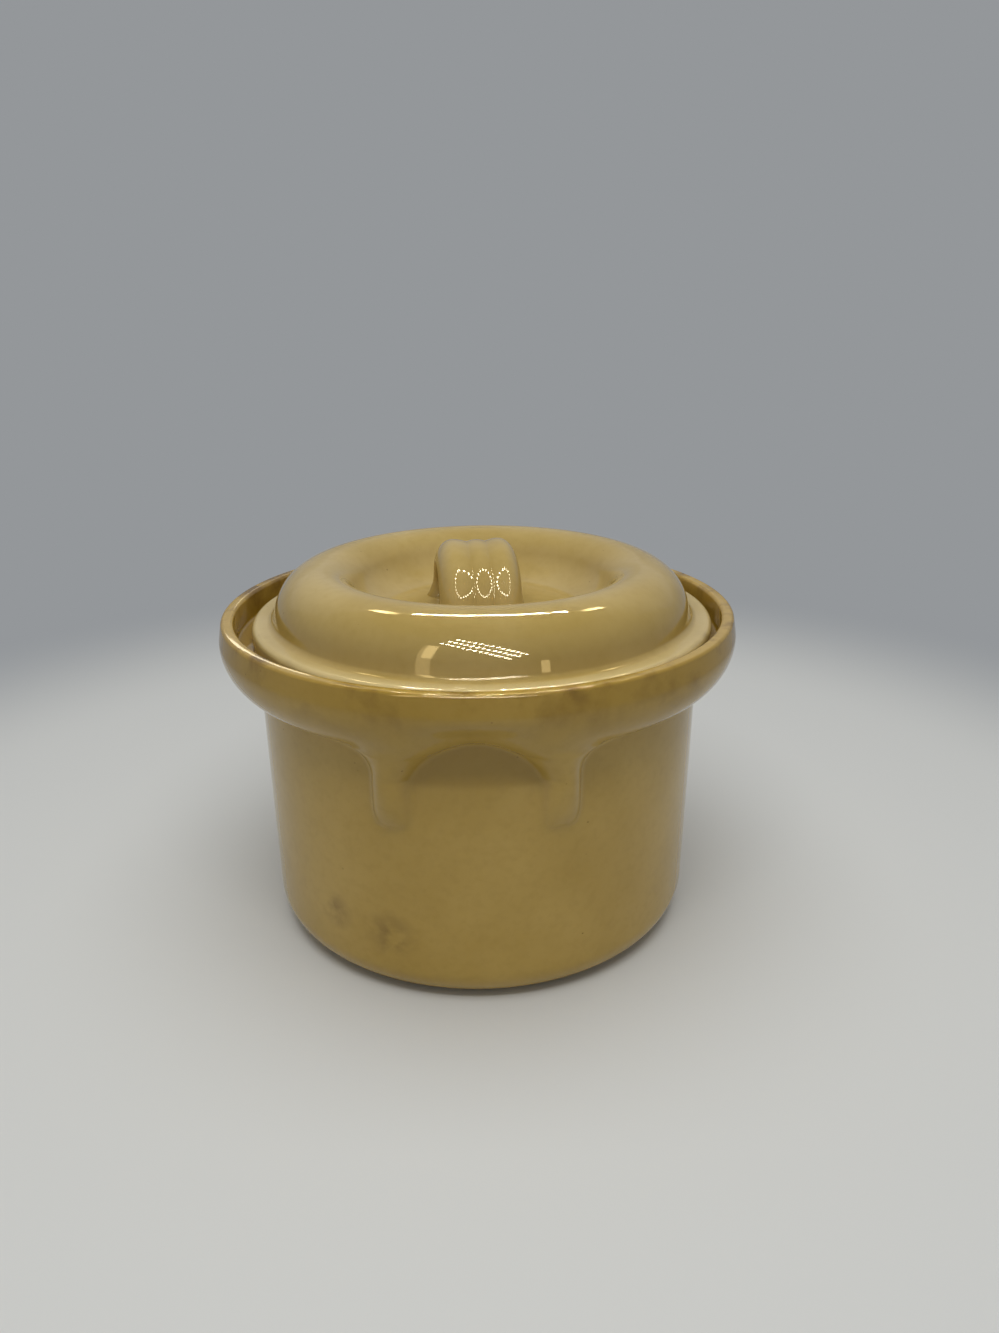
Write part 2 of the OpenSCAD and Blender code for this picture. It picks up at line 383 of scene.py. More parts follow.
# %% [markdown]
# ## The pot
# The whole pot with both grips is one skin, because under the glaze no join can be seen. A subdivided
# coarse mesh would blur the legs' edges, so the points are placed where they are needed: less than
# half a degree apart at the grips, in front and behind, and two degrees apart elsewhere.

# %% The pot
fine_span, fine_turn, wide_turn = 38, 0.43, 2
pot_phase = 0.8

quarter = [*np.arange(0, 90 - fine_span, wide_turn), *np.arange(90 - fine_span, 90, fine_turn)]
half_turn = quarter + [180 - a for a in [90] + quarter[:0:-1]]
pot_angles = np.radians(half_turn + [a + 180 for a in half_turn])
pot_rows = np.array(pot_outline)
pot_radius, pot_height = pot_rows[:, :1] + 0 * pot_angles, pot_rows[:, 1:]
outside_rows = (np.arange(len(pot_rows)) < len(pot_outside))[:, None]
pushed, arch_shade = push_grips(pot_radius, pot_height, pot_angles)
pot_radius = out_of_round(np.where(outside_rows, pushed, pot_radius), pot_angles, pot_phase)

pot = spin("pot", pot_radius, pot_height, pot_angles)
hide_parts("pot_body", "front_lug_grip", "rear_lug_grip")
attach(pot, "pot")
print("points in the pot's skin:", len(pot.data.vertices))

# %% [markdown]
# ## Marks on the pot's glaze
# The collar is darker round its roll. Shade is painted into the colour: dark in the arches under the
# grips, on the band up to the lip's outer edge and deep in the gallery. Use then wears the lip and
# soils the collar, and the foot ring was wiped bare so that it didn't stick to the shelf of the kiln.
# These could be masks in the material, but heights and radii are at hand here.

# %% Marks on the pot
# strength of the painted shade under the arches
arch_shade_share = 0.9
# the collar is made darker round its roll
roll_dark_share, roll_dark_drop, roll_dark_reach, roll_dark_from = 0.5, 1, 8, 3
# painted shade deep in the gallery
gallery_shade_share, gallery_shade_start, gallery_shade_end = 1.7, 1.5, 4
gallery_edge, gallery_below = 0.5, 1
# painted shade on the band up to the lip's outer edge
lip_shade_start, lip_shade_end, lip_shade_below, lip_shade_above = 1, 0.2, 6, 3
lip_wear_reach = 1.3
soil_share, soil_rise, soil_reach, soil_from = 0.5, 1, 5, 2
bare_h, bare_over = 0.25, 2


def fade(distance, reach):
    """1 at no distance, falling away smoothly over reach."""
    return np.exp(-(distance / reach) ** 2)


in_gallery = (pot_radius > mouth_r + gallery_edge) * (pot_height > gallery_z - gallery_below)
# painted shade: the gallery darkens the deeper it lies
gallery_shade = gallery_shade_share * ramp(lip_z - pot_height, gallery_shade_start, gallery_shade_end)
gallery_shade = gallery_shade * in_gallery
# darker round the collar's roll
roll_dark = roll_dark_share * fade(pot_height - band_z + roll_dark_drop, roll_dark_reach)
roll_dark = roll_dark * (pot_radius > wall_high_r + roll_dark_from)
# painted shade: the band darkens up to the lip's outer edge
lip_shade = ramp(pot_radius, lip_edge[0] - lip_shade_start, lip_edge[0] - lip_shade_end)
lip_shade = lip_shade * ramp(pot_height, band_z - lip_shade_below, band_z + lip_shade_above)
outer_dark = np.maximum(arch_shade_share * arch_shade, roll_dark)
lip_wear = fade(pot_height - lip_z, lip_wear_reach)
soil = soil_share * fade(pot_height - band_z - soil_rise, soil_reach) * (pot_radius > wall_high_r + soil_from)
foot_bare = (pot_height < bare_h) & (pot_radius < foot_r + bare_over)
mark(pot, "pool_and_shade", point_order(np.maximum(lip_shade, np.where(outside_rows, outer_dark, gallery_shade))))
mark(pot, "wear", point_order(np.where(outside_rows, np.maximum(lip_wear, soil), lip_wear)))
mark(pot, "bare", point_order(foot_bare))
print("share of the pot's points on bare clay:", round(float(foot_bare.mean()), 3))

# %% [markdown]
# ## Sizes of the lid
# The lid is turned as well: a flange that sits in the gallery, a raised ring, and a well that leaves
# room for the strap. It was set down a little off the middle of the pot, and the frame's box says
# where. A curve with handles would be quicker to draw, but arcs that touch each other smoothly give
# the even highlights of a shape that was turned against a template.

# %% Sizes of the lid
lid_x = (lid_low.x + lid_high.x) / 2
lid_r = max(lid_high.y, (lid_high.x - lid_low.x) / 2)
crest_z = lid_high.z
lid_t = 5
flange_t, flange_round, flange_fillet = 5.5, 1.6, 1.8
ledge_w = 5.3
shoulder_round, shoulder_lean = 12.6, 15
rim_round = 9
well_h, well_r = 6, 23.2

side_lean = math.radians(shoulder_lean)
flange_z = gallery_z + flange_t
well_z = gallery_z + well_h
shoulder_z = crest_z - shoulder_round
side_h = shoulder_z + shoulder_round * math.sin(side_lean) - flange_z
crest_r = lid_r - ledge_w - shoulder_round * math.cos(side_lean) - side_h * math.tan(side_lean)
side_round = ((crest_r - well_r) ** 2 + (crest_z - well_z) ** 2) / (2 * (crest_z - well_z))
well_round = side_round - rim_round
dish = math.degrees(math.asin((crest_z - rim_round - well_z - well_round) / side_round))
print("crest radius and well radius, mm:", round(crest_r, 2), well_r)

# %% [markdown]
# ## Outline of the lid
# It is one outline again, from the middle of the well out over the ring, round the flange and back
# underneath. A modifier that adds thickness would do for the ring, but the flange is a plain slab
# with a flat seat, so the underside is drawn too, a lid's thickness below the arcs of the top.

# %% Outline of the lid
well_steps, rim_steps, shoulder_steps = 18, 16, 22
foot_steps, flange_steps, seat_steps = 8, 8, 6


def ring_side(radius, z):
    """A point on the ring's leaning side at height z, for a shoulder of that radius."""
    start = crest_r + radius * math.cos(side_lean)
    return start + (shoulder_z + radius * math.sin(side_lean) - z) * math.tan(side_lean), z


well_middle, rim_middle = (well_r, well_z + well_round), (crest_r, crest_z - rim_round)
shoulder_middle = (crest_r, shoulder_z)
ring_foot, seat_in = ring_side(shoulder_round, flange_z), ring_side(shoulder_round - lid_t, gallery_z)
shoulder = arc(shoulder_middle, shoulder_round, 90, shoulder_lean, shoulder_steps)
inner_shoulder = arc(shoulder_middle, shoulder_round - lid_t, shoulder_lean, 90)
lid_top = (
    [(0, well_z)] + arc(well_middle, well_round, -90, dish, well_steps)
    + arc(rim_middle, rim_round, 180 + dish, 90, rim_steps)[1:] + shoulder[1:]
    + corner(shoulder[-1], ring_foot, (lid_r, flange_z), flange_fillet, foot_steps))
lid_under = (
    corner(ring_foot, (lid_r, flange_z), (lid_r, gallery_z), flange_round, flange_steps)
    + corner((lid_r, flange_z), (lid_r, gallery_z), seat_in, flange_round, flange_steps)
    + corner((lid_r, gallery_z), seat_in, inner_shoulder[0], small_round, seat_steps)
    + inner_shoulder
    + arc(rim_middle, rim_round - lid_t, 90, 180 + dish)[1:]
    + arc(well_middle, well_round + lid_t, dish, -90)[1:] + [(0, well_z - lid_t)])
lid_outline = fill(lid_top + lid_under, wide_gap)
print("points in the lid's outline:", len(lid_outline))

# %% [markdown]
# ## The lid
# The lid has no grips, so its points are spread evenly. Its flange is painted paler as a highlight,
# most of all in front, and a dark reflection is painted on the ring's leaning side. Glaze gathered at
# the ring's foot, and the seat was left bare, so that lid and pot could be fired together without
# sticking.

# %% The lid
lid_turn, lid_phase = 1.5, 2.2
ring_pool_share, ring_pool_reach = 0.4, 1.6
# painted dark reflection on the ring's leaning side
side_shade_share, side_shade_start, side_shade_end, side_shade_rise = 0.65, 4, 11, 1
flange_wear_reach = 1.5
# painted highlight: the flange is made paler, most of all in front
highlight_below, highlight_start, highlight_end = 2, 0.5, 2
highlight_least, front_start, front_end = 0.5, 0.5, 0.95
seat_h, seat_edge = 0.3, 0.5

lid_angles = np.radians(np.arange(0, 360, lid_turn))
lid_rows = np.array(lid_outline)
lid_radius, lid_height = lid_rows[:, :1] + 0 * lid_angles, lid_rows[:, 1:]
lid_radius = out_of_round(lid_radius, lid_angles, lid_phase)
lid = spin("lid", lid_radius, lid_height, lid_angles, lid_x)
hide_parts("lid_shell")
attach(lid, "lid")

ring_pool = fade(np.hypot(lid_radius - ring_foot[0], lid_height - flange_z), ring_pool_reach)
# painted dark reflection on the ring's leaning side
side_shade = side_shade_share * ramp(lid_radius, crest_r + side_shade_start, crest_r + side_shade_end)
side_shade = side_shade * (lid_height > flange_z + side_shade_rise)
flange_wear = fade(np.hypot(lid_radius - lid_r, lid_height - flange_z), flange_wear_reach)
in_front = highlight_least + (1 - highlight_least) * ramp(-np.sin(lid_angles), front_start, front_end)
# painted highlight: the flange is made paler, most of all in front
flange_highlight = ramp(lid_radius, ring_foot[0] + highlight_start, ring_foot[0] + highlight_end) * in_front
flange_highlight = flange_highlight * (lid_height > flange_z - highlight_below)
seat_bare = (lid_height < gallery_z + seat_h) & (lid_radius > seat_in[0] - seat_edge)
mark(lid, "pool_and_shade", point_order(np.maximum(ring_pool_share * ring_pool, side_shade)))
mark(lid, "wear", point_order(flange_wear))
mark(lid, "painted_highlight", point_order(flange_highlight))
mark(lid, "bare", point_order(seat_bare))
print("points in the lid's skin:", len(lid.data.vertices))

# %% [markdown]
# ## Section of the strap
# A potter pulls a strap of clay and runs two grooves along it with a finger, which leaves three
# lobes, the middle one a little lower. The section could be drawn freehand as a curve, but here it
# is a block with rounded edges whose outer face is lowered by the grooves.

# %% Section of the strap
strap_low, strap_high = (corner_point / MM for corner_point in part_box("lid_strap_handle"))
strap_x = (strap_low.x + strap_high.x) / 2
strap_h = strap_high.z - well_z
strap_w, strap_t = 21.3, 6.2
outer_edge, inner_edge, edge_steps = 4.8, 1.3, 9
groove_depth = 0.7
lobe_shares, lobe_drops = [0, 0.37, 0.6, 1], [0, 0.25, 0]
top_gap, bottom_gap = 0.2, 1.5
half_w, strap_in = strap_w / 2, strap_h - strap_t


def groove(place):
    """How far the strap's outer face lies below its highest lobe, at a place across its width."""
    share = (place + half_w) / strap_w
    for start, end, drop in zip(lobe_shares, lobe_shares[1:], lobe_drops):
        if start <= share <= end:
            from_middle = (2 * share - start - end) / (end - start)
            return drop + (groove_depth - drop) * from_middle ** 2


def grooves(points):
    """The depth of the groove at each point of a section, and 0 away from its outer face."""
    return np.array([groove(w) * (r > strap_h - outer_edge) for r, w in points])


block = [(strap_in, -half_w), (strap_h, -half_w), (strap_h, half_w), (strap_in, half_w)]
edges = [corner(block[i - 1], block[i], block[(i + 1) % 4], edge, edge_steps)
         for i, edge in enumerate([inner_edge, outer_edge, outer_edge, inner_edge])]
strap_top = fill([edges[1][-1], edges[2][0]], top_gap)
strap_bottom = fill([edges[3][-1], edges[0][0]], bottom_gap)
section = edges[0] + edges[1] + strap_top[1:-1] + edges[2] + edges[3] + strap_bottom[1:-1]
section = np.array(section) - np.stack([grooves(section), np.zeros(len(section))], axis=1)
print("strap: height, width and points of the section:", round(strap_h, 2), strap_w, len(section))

# %% [markdown]
# ## The strap handle
# The strap is bent into an arch and its ends are luted to the well. A curve with a bevel could sweep
# the section, but the feet must spread where they were pressed down, so the section is swept in
# arrays along a half circle and its last few millimetres are flared along its own normals.

# %% The strap handle
strap_turn = math.radians(7)
flare_h, foot_flare, foot_sink = 6, 1.8, 0.4
foot_span, foot_rings, bend_turn = 24, 22, 2
foot_pool_reach, groove_pool_share = 2.2, 0.5

outward = np.roll(section, -1, axis=0) - np.roll(section, 1, axis=0)
outward = np.stack([outward[:, 1], -outward[:, 0]], axis=1)
outward *= np.sign(outward[section[:, 0].argmax(), 0]) / np.linalg.norm(outward, axis=1)[:, None]
sink = math.degrees(foot_sink / strap_h)
bend = np.radians(np.concatenate([np.linspace(-sink, foot_span, foot_rings),
                                  np.arange(foot_span + bend_turn, 180 - foot_span, bend_turn),
                                  np.linspace(180 - foot_span, 180 + sink, foot_rings)]))[:, None]
rise = np.maximum(np.sin(bend) * section[:, 0], 0)
flare = foot_flare * np.clip(1 - rise / flare_h, 0, 1) ** 2
along = np.cos(bend) * (section[:, 0] + flare * outward[:, 0])
across = section[:, 1] + flare * outward[:, 1]
strap_points = np.stack([
    strap_x - along * math.sin(strap_turn) - across * math.cos(strap_turn),
    along * math.cos(strap_turn) - across * math.sin(strap_turn),
    well_z + np.sin(bend) * section[:, 0]], axis=-1).reshape(-1, 3)
rings, columns = along.shape
ends = [tuple(range(columns)), tuple(range((rings - 1) * columns, rings * columns))]
strap = new_piece("strap_handle", strap_points, ring_faces(rings, columns) + ends)
groove_pool = np.tile(groove_pool_share * grooves(section) / groove_depth, rings)
mark(strap, "pool_and_shade", np.maximum(fade(rise, foot_pool_reach).ravel(), groove_pool))
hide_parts("lid_strap_handle")
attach(strap, "lid")
print("points in the strap:", len(strap.data.vertices))

# %% [markdown]
# ## Colours and nodes
# Shaders work in linear light, while a colour picked from a screen is sRGB, so one function turns
# the hex values over. Nodes could be set up by hand in the editor, but a script can be read and run
# again, and one function that adds a node with its settings and links is all the help it needs.

# %% Helpers for materials
def linear(hex_colour):
    """An sRGB hex colour as linear red, green, blue and alpha."""
    parts = [int(hex_colour[i:i + 2], 16) / 255 for i in (1, 3, 5)]
    return [c / 12.92 if c <= 0.04045 else ((c + 0.055) / 1.055) ** 2.4 for c in parts] + [1]


def add_node(tree, kind, inputs, **options):
    """A node with its options set, and each input set to a value or linked to a socket."""
    made = tree.nodes.new("ShaderNode" + kind)
    for name, value in options.items():
        setattr(made, name, value)
    for place, value in inputs.items():
        if isinstance(value, bpy.types.NodeSocket):
            tree.links.new(value, made.inputs[place])
        else:
            made.inputs[place].default_value = value
    return made


print("middle grey in linear light:", round(linear("#808080")[0], 3))

# %% [markdown]
# ## Patterns of the glaze
# A melted glaze is never one flat colour. It has slow clouds, a fine mottle, stains that take only in
# places, smears, and a gloss that varies a little. Photographs of glaze would show their edges when
# they repeat, so each pattern is a noise of a real size, in millimetres, of which one stretch counts.

# %% Patterns of the glaze
# Each pattern has a size in mm, a detail, the stretch of noise that counts, and the values at its ends.
glaze_patterns = {
    "clouds": (26, 4, (0.38, 0.66), (0, 1)),
    "mottle": (2.2, 2, (0.45, 0.75), (0, 0.12)),
    "stains": (9, 4, (0.5, 0.68), (0, 0.75)),
    "smears": (5, 3, (0.35, 0.6), (0, 1)),
    "gloss": (13, 2, (0.3, 0.7), (0.025, 0.06)),
}


def glaze_grain(tree, place):
    """The value of each pattern at a place on the glaze, by the pattern's name."""
    grain = {}
    for name, (size, detail, (low, high), (start, end)) in glaze_patterns.items():
        drawn = {"Vector": place, "Scale": 1 / (size * MM), "Detail": detail}
        noise = add_node(tree, "TexNoise", drawn).outputs[0]
        limits = {"Value": noise, "From Min": low, "From Max": high, "To Min": start, "To Max": end}
        grain[name] = add_node(tree, "MapRange", limits).outputs[0]
    return grain


print("patterns and their sizes, mm:", {name: row[0] for name, row in glaze_patterns.items()})

# %% [markdown]
# ## Specks and smudges
# Iron in the clay comes through the glaze as fine brown specks, and kitchen hands leave smudges.
# Specks could be scattered as points, but a cell pattern is lighter: each cell has a dot at its
# middle, and the cell's random colour says whether that dot shows. A smudge is a distance from one
# place, broken up by smears.

# %% Specks and smudges
speck_gap, speck_size, speck_core = 5.2, 0.3, 0.4
speck_none, speck_full, speck_most = 0.45, 0.9, 0.8
smudge_core = 0.2


def iron_specks(tree, place):
    """How much of a speck shows at a place on the glaze."""
    cells = add_node(tree, "TexVoronoi", {"Vector": place, "Scale": 1 / (speck_gap * MM)}).outputs
    edge = speck_size / speck_gap
    dot = {"Value": cells["Distance"], "From Min": edge, "From Max": speck_core * edge}
    dots = add_node(tree, "MapRange", dot).outputs[0]
    draw = add_node(tree, "SeparateColor", {0: cells["Color"]}).outputs[0]
    chance = {"Value": draw, "From Min": speck_none, "From Max": speck_full, "To Max": speck_most}
    chosen = add_node(tree, "MapRange", chance).outputs[0]
    return add_node(tree, "Math", {0: dots, 1: chosen}, operation="MULTIPLY").outputs[0]


def smudged(tree, place, smears, middle, size, strength):
    """How much of one smudge shows at a place on the glaze, with its middle and size in mm."""
    ends = {0: place, 1: Vector(middle) * MM}
    far = add_node(tree, "VectorMath", ends, operation="DISTANCE").outputs["Value"]
    limits = {"Value": far, "From Min": size * MM, "From Max": smudge_core * size * MM, "To Max": strength}
    patch = add_node(tree, "MapRange", limits).outputs[0]
    return add_node(tree, "Math", {0: patch, 1: smears}, operation="MULTIPLY").outputs[0]


print("specks across, mm:", 2 * speck_size, "in cells of, mm:", speck_gap)

# %% [markdown]
# ## Glazed stoneware
# Stoneware clay is dipped in a yellow-buff glaze and fired until the glaze melts to glass. To the
# eye that gives a warm colour with slow clouds in it, a hard gloss, and darker tones where the melt
# pooled. The same dark colour also paints shade in hollows and on some faces, and a pale cream paints
# a highlight. The bare clay under the foot is pale and dull. Glass of this kind has an IOR near 1.5
# and a roughness of a few hundredths, and its surface has a slight ripple, like orange peel, a few
# millimetres wide. A coat over a diffuse base would do it as well, but the Principled shader's own
# gloss is enough for one clear layer.

# %% Glazed stoneware
GLAZE_IOR = 1.5
CLAY_ROUGHNESS = 0.8
FACTOR, COLOUR_A, COLOUR_B, COLOUR_OUT = 0, 6, 7, 2
NUMBER_A, NUMBER_B, NUMBER_OUT = 2, 3, 0
# the cream colour paints a highlight on the lid's flange
highlight_cream, iron_brown, bare_clay = "#d2bd86", "#6a4d1a", "#c9b592"
# share of the dark colour for pools and painted shade, and of the cream for the painted highlight
pool_and_shade_share, highlight_share = 0.45, 0.8
ripple_size, ripple_detail, ripple_depth = 4.5, 2, 0.012


def glazed_stoneware(name, glaze, pale, pooled_and_shaded, smudges=()):
    """A glossy glaze over buff clay, built up in layers of colour from the glaze to the bare clay."""
    material = bpy.data.materials.new(name)
    material.use_nodes = True
    tree = material.node_tree
    shader = tree.nodes["Principled BSDF"]
    place = add_node(tree, "TexCoord", {}).outputs["Object"]
    grain = glaze_grain(tree, place)
    marks = {}
    for kind in ("pool_and_shade", "wear", "painted_highlight", "bare"):
        marks[kind] = add_node(tree, "Attribute", {}, attribute_name=kind).outputs["Fac"]
    for kind, share in (("pool_and_shade", pool_and_shade_share), ("wear", grain["stains"]), ("painted_highlight", highlight_share)):
        marks[kind] = add_node(tree, "Math", {0: marks[kind], 1: share}, operation="MULTIPLY").outputs[0]
    layers = [(grain["clouds"], pale), (grain["mottle"], pooled_and_shaded), (marks["pool_and_shade"], pooled_and_shaded),
              (iron_specks(tree, place), iron_brown), (marks["wear"], iron_brown)]
    layers += [(smudged(tree, place, grain["smears"], *smudge), iron_brown) for smudge in smudges]
    layers += [(marks["painted_highlight"], highlight_cream), (marks["bare"], bare_clay)]
    colour = linear(glaze)
    for share, over in layers:
        both = {FACTOR: share, COLOUR_A: colour, COLOUR_B: linear(over)}
        colour = add_node(tree, "Mix", both, data_type="RGBA").outputs[COLOUR_OUT]
    tree.links.new(colour, shader.inputs["Base Color"])
    dull = {FACTOR: marks["bare"], NUMBER_A: grain["gloss"], NUMBER_B: CLAY_ROUGHNESS}
    tree.links.new(add_node(tree, "Mix", dull).outputs[NUMBER_OUT], shader.inputs["Roughness"])
    drawn = {"Vector": place, "Scale": 1 / (ripple_size * MM), "Detail": ripple_detail}
    noise = add_node(tree, "TexNoise", drawn).outputs[0]
    ripple = {"Height": noise, "Strength": 1, "Distance": ripple_depth * MM}
    tree.links.new(add_node(tree, "Bump", ripple).outputs[0], shader.inputs["Normal"])
    shader.inputs["IOR"].default_value = GLAZE_IOR
    return material


print("roughness of the bare clay and of the glaze:", CLAY_ROUGHNESS, glaze_patterns["gloss"][-1])

# %% [markdown]
# ## Glaze on the pieces
# Pot and lid have one kind of glaze, and the lid's colours are set a little paler and less yellow, so
# there are two materials from the same function. Two smudges lie low on the pot's wall, towards the
# left, and the far left of the lip is stained. They could be painted, but a place and a size say it all.

# %% Glaze on the pieces
def on_wall(angle, height):
    """A point on the pot's wall, in mm, at an angle from the front towards the right."""
    turn = math.radians(angle)
    return wall_low_r * math.sin(turn), -wall_low_r * math.cos(turn), height


# Each smudge has a middle and a size in mm, and a strength.
pot_smudges = [
    (on_wall(-38, 19.5), 6, 0.5),
    (on_wall(-21.5, 17), 8, 0.55),
    ((-60, 28, 84), 10, 0.9),
    ((-64.5, 14, 84), 8, 0.7),
]
pot_glaze = glazed_stoneware("yellow_glazed_stoneware_pot", glaze="#ae8e3e", pale="#b8984a",
                             pooled_and_shaded="#856617", smudges=pot_smudges)
lid_glaze = glazed_stoneware("yellow_glazed_stoneware_lid", glaze="#ae9453", pale="#b89f62",
                             pooled_and_shaded="#8a702c")
pot.data.materials.append(pot_glaze)
for piece in (lid, strap):
    piece.data.materials.append(lid_glaze)
print("materials:", [m.name for m in (pot_glaze, lid_glaze)])

# %% [markdown]
# ## Floor and backdrop
# The crock stands on a pale matt sheet that rises behind it. A plane with a wall would show a line,
# so one round bowl serves for floor and backdrop, and every side of the object is seen against the
# same ground.

# %% Floor and backdrop
bowl_r, bowl_round, bowl_h = 800, 300, 1200
bowl_columns, floor_gap = 96, 60

bowl_outline = fill([(0, 0), (bowl_r - bowl_round, 0)], floor_gap)[1:-1]
bowl_outline += arc((bowl_r - bowl_round, bowl_round), bowl_round, -90, 0) + [(bowl_r, bowl_h)]
bowl_angles = np.linspace(0, math.tau, bowl_columns, endpoint=False)
bowl_points = [(r * math.cos(a), r * math.sin(a), z) for r, z in bowl_outline for a in bowl_angles]
bowl_faces = ring_faces(len(bowl_outline), bowl_columns) + [tuple(range(bowl_columns))]
bowl = new_piece("floor_and_backdrop", bowl_points, bowl_faces)
bowl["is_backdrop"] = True
print("floor and backdrop, mm across:", 2 * bowl_r)

# %% [markdown]
# ## Matt paper
# Uncoated paper scatters light evenly, so it shows the soft shadow of the pot and no gloss. Near the
# pot it is that plain surface. Further off it turns into an even grey that needs no light. Lighting
# the whole bowl evenly would take many more lamps, and they would light the pot as well.

# %% Matt paper
PAPER_ROUGHNESS = 0.9
fade_start, fade_end = 190, 330

paper = bpy.data.materials.new("matt_paper")
paper.use_nodes = True
tree = paper.node_tree
shader = tree.nodes["Principled BSDF"]
shader.inputs["Roughness"].default_value = PAPER_ROUGHNESS
shader.inputs["Base Color"].default_value = linear("#d8d8d4")
paper_place = add_node(tree, "TexCoord", {}).outputs["Object"]
flat = add_node(tree, "VectorMath", {0: paper_place, 1: (1, 1, 0)}, operation="MULTIPLY").outputs[0]
far = add_node(tree, "VectorMath", {0: flat}, operation="LENGTH").outputs["Value"]
limits = {"Value": far, "From Min": fade_start * MM, "From Max": fade_end * MM}
faded = add_node(tree, "MapRange", limits, interpolation_type="SMOOTHSTEP").outputs[0]
grey = add_node(tree, "Emission", {"Color": linear("#94979a"), "Strength": 1}).outputs[0]
ground = add_node(tree, "MixShader", {0: faded, 1: shader.outputs[0], 2: grey}).outputs[0]
tree.links.new(ground, tree.nodes["Material Output"].inputs["Surface"])
bowl.data.materials.append(paper)
print("paper turns to even grey between, mm:", fade_start, fade_end)

# %% [markdown]
# ## Soft light
# A soft lamp above, a dimmer one behind and a narrower key from the front shape the pot, and the key
# throws the collar's shadow into the arch of the grip. On glaze, each lamp is also mirrored. A lamp
# large enough to be soft would be mirrored as a dull white sheet, so the top lamp and the key are
# kept out of the gloss, and later steps add the small bright glints by themselves.

# %% Soft light
middle_of_lid = (0, 0, 85)


def lamp(name, wide, deep, place, power, turn=0, target=middle_of_lid):
    """A rectangular lamp aimed at a target, sizes and places in mm, turned on its own axis."""
    light = bpy.data.lights.new(name, "AREA")
    light.shape = "RECTANGLE"
    light.size, light.size_y = wide * MM, deep * MM
    light.energy = power
    made = bpy.data.objects.new(name, light)
    aim = (Vector(target) - Vector(place)).to_track_quat("-Z", "Y").to_matrix()
    aim = aim @ Matrix.Rotation(math.radians(turn), 3, "Z")
    made.matrix_world = Matrix.Translation(Vector(place) * MM) @ aim.to_4x4()
    made.visible_camera = False
    bpy.context.scene.collection.objects.link(made)
    return made


soft_top = lamp("soft_top", wide=620, deep=520, place=(0, -60, 640), power=2.1)
key = lamp("key", wide=260, deep=40, place=(0, -250, 418), power=0.44)
soft_back = lamp("soft_back", wide=1000, deep=300, place=(0, 245, 300), power=0.13)
for hidden in (soft_top, key):
    hidden.visible_glossy = False
print("soft lamps, watts:", {made.name: round(made.data.energy, 2) for made in (soft_top, key, soft_back)})

# %% [markdown]
# ## Lamps for glints
# A glint is a lamp's mirror image in the glaze. Such a lamp is set to show in gloss only, so that its
# power can be chosen for the glint and not for the light. Light linking then says which pieces mirror
# it: strap, lid and lip curve so differently that one set of lamps can't put the glint in the right
# place on all of them. Painted highlights would stay put when the view turns, and these don't.

# %% Lamps for glints
def mirrored_in(name, *pieces):
    """A group of pieces that a lamp can be linked to."""
    group = bpy.data.collections.new(name)
    for piece in pieces:
        group.objects.link(piece)
    return group


def glint(group, name, wide, deep, place, radiance, colour="#fff1cf", spread=180, **aim):
    """A lamp that shows only in the gloss of one group of pieces, with its beam's spread in degrees."""
    power = math.pi * wide * deep * MM * MM * radiance
    made = lamp(name, wide, deep, place, power, **aim)
    made.data.color = linear(colour)[:3]
    made.data.spread = math.radians(spread)
    made.visible_diffuse = False
    made.light_linking.receiver_collection = group
    return made


turned = mirrored_in("turned_glaze", pot, lid)
thrown = mirrored_in("thrown_glaze", pot)
pulled = mirrored_in("pulled_glaze", strap)

# %% [markdown]
# ## Diode panel
# The slanting patch of light on the lid's front is the image of a lamp with rows of small diodes. A
# lamp for every diode would be slow, so one panel carries a regular cell pattern that lets it shine
# only in round spots. Parametric coordinates run from 0 to 1 across a lamp, and the gaps between the
# diodes turn them into counts.

# %% Diode panel
panel_w, panel_d, diode_gap, row_gap = 300, 84, 22, 36
diode_shift = (0.5, -0.17, 0)
diode_edge, diode_core = 0.26, 0.2

panel = glint(turned, "diode_panel", panel_w, panel_d, place=(10, -300, 305), radiance=80, turn=-45)
panel.data.use_nodes = True
tree = panel.data.node_tree
on_panel = add_node(tree, "NewGeometry", {}).outputs["Parametric"]
counts = {0: on_panel, 1: (panel_w / diode_gap, panel_d / row_gap, 0), 2: diode_shift}
counted = add_node(tree, "VectorMath", counts, operation="MULTIPLY_ADD").outputs[0]
regular = {"Vector": counted, "Scale": 1, "Randomness": 0}
from_diode = add_node(tree, "TexVoronoi", regular).outputs["Distance"]
limits = {"Value": from_diode, "From Min": diode_edge, "From Max": diode_core}
diodes = add_node(tree, "MapRange", limits).outputs[0]
tree.links.new(diodes, tree.nodes["Emission"].inputs["Strength"])
print("diodes along the panel and rows:", round(panel_w / diode_gap), round(panel_d / row_gap))

# %% [markdown]
# ## Glints on lid and lip
# Warm patches stand left and right of the panel's image on the ring. A fine line runs along the front
# of the crest, between two fainter patches, and another along the left of the lip. One long lamp
# behind would draw that line on the far crest too, so it is cut into short ones with a narrow beam
# that reaches the front of the crest alone.

# %% Glints on lid and lip
warm_white = "#ffdf9a"
crest_front, lip_left = (0, -45, 97), (-55, -38, 85)
row_x, row_w, row_d, row_half = 16, 36, 4, 3
back_y, back_z, narrow = 190, 450, 10

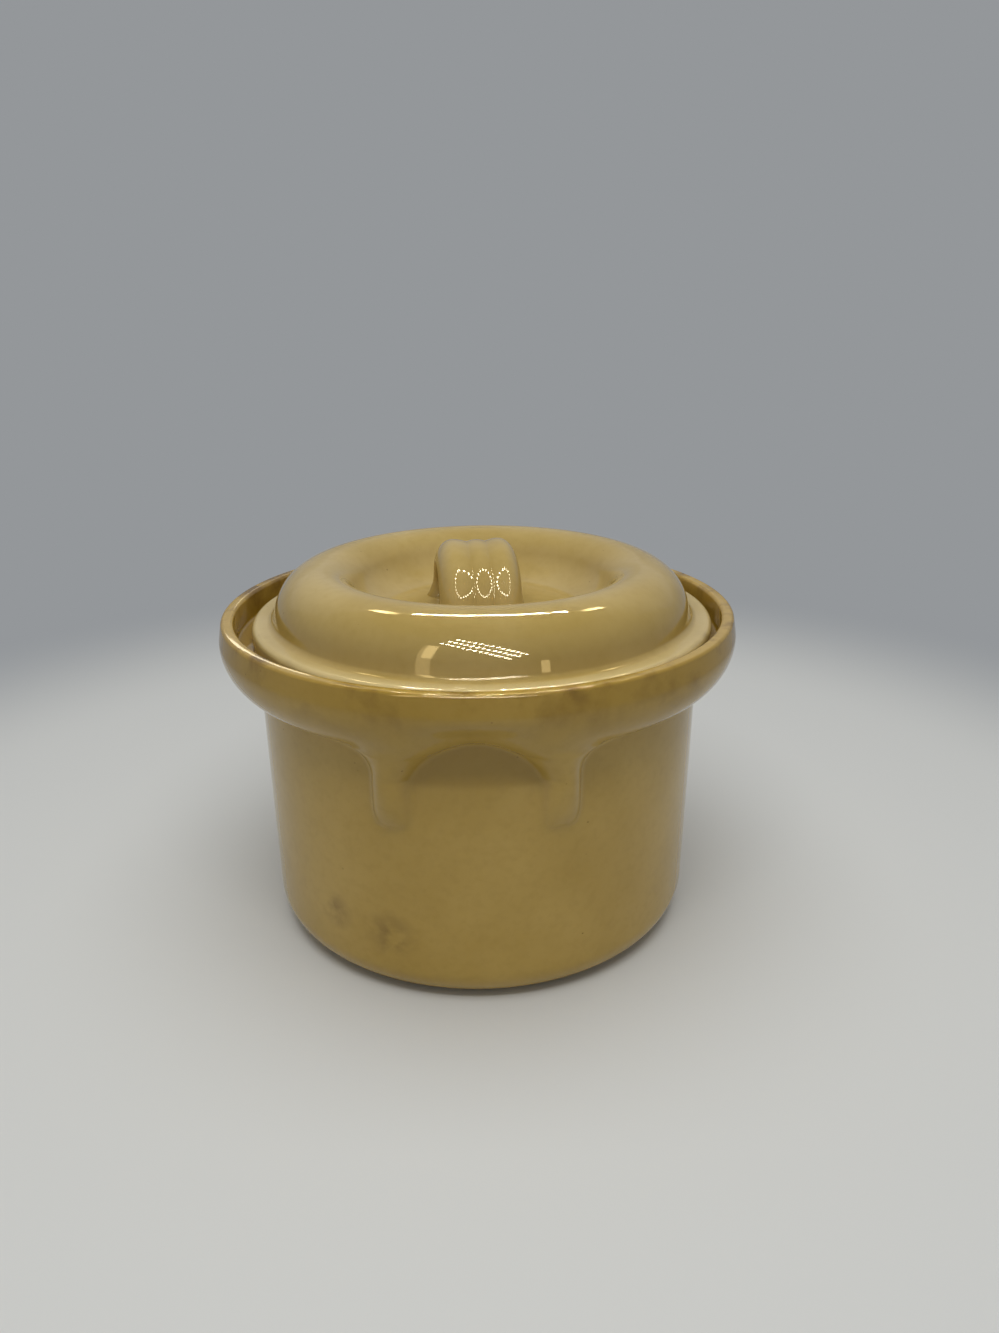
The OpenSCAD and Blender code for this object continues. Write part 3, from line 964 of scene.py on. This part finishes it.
glint(turned, "left_side", wide=44, deep=230, place=(-158, -300, 215), radiance=3, colour=warm_white)
glint(turned, "left_side_middle", wide=36, deep=150, place=(-150, -299, 255), radiance=6, colour=warm_white)
glint(turned, "right_side", wide=24, deep=30, place=(173, -300, 132), radiance=6, colour=warm_white)
for part in range(-row_half, row_half + 1):
    glint(turned, f"back_row_{part}", row_w, row_d, place=(row_x + row_w * part, back_y, back_z),
          radiance=3, spread=narrow, target=crest_front)
glint(thrown, "behind_left", wide=90, deep=10, place=(-130, 268, 192), radiance=4, target=lip_left)
for name, x in (("back_left", -157), ("back_right", 184)):
    glint(turned, name, wide=60, deep=70, place=(x, back_y, back_z), radiance=0.1, colour=warm_white,
          spread=narrow, target=crest_front)
print("lamps in the line on the crest:", 2 * row_half + 1)

# %% [markdown]
# ## Loops on the strap
# Each lobe of the strap mirrors a ring of diodes as a small loop. A torus that glows would do, but it
# would also show as an object in the mirror of the lid, so the ring is made of square lamps that are
# linked to the strap alone.

# %% Loops on the strap
bead_count, bead_size, ring_r = 24, 14, 150
ring_x, ring_y, ring_z = 75, -185, 300

for bead in range(bead_count):
    turn = math.tau * bead / bead_count
    place = (ring_x + ring_r * math.cos(turn), ring_y + ring_r * math.sin(turn), ring_z)
    glint(pulled, f"bead_{bead:02d}", bead_size, bead_size, place, radiance=48)

# %% [markdown]
# ## Room
# A pale room gives the glaze something to mirror between the lamps, and fills the shadows. A picture
# of a room would add shapes of its own, so it is one even grey. The Standard view keeps the colours
# as they were chosen.

# %% Room
ROOM_STRENGTH = 0.27

world = bpy.data.worlds.new("soft_room")
world.use_nodes = True
room = world.node_tree.nodes["Background"]
room.inputs["Color"].default_value = linear("#c8cacc")
room.inputs["Strength"].default_value = ROOM_STRENGTH
bpy.context.scene.world = world
bpy.context.scene.view_settings.view_transform = "Standard"
print("strength of the room's light:", ROOM_STRENGTH)

visual_low, visual_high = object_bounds()
growth = (visual_high - visual_low) - (cad_high - cad_low)
print("visual box less solid box, mm:", [round(s / MM, 2) for s in growth])
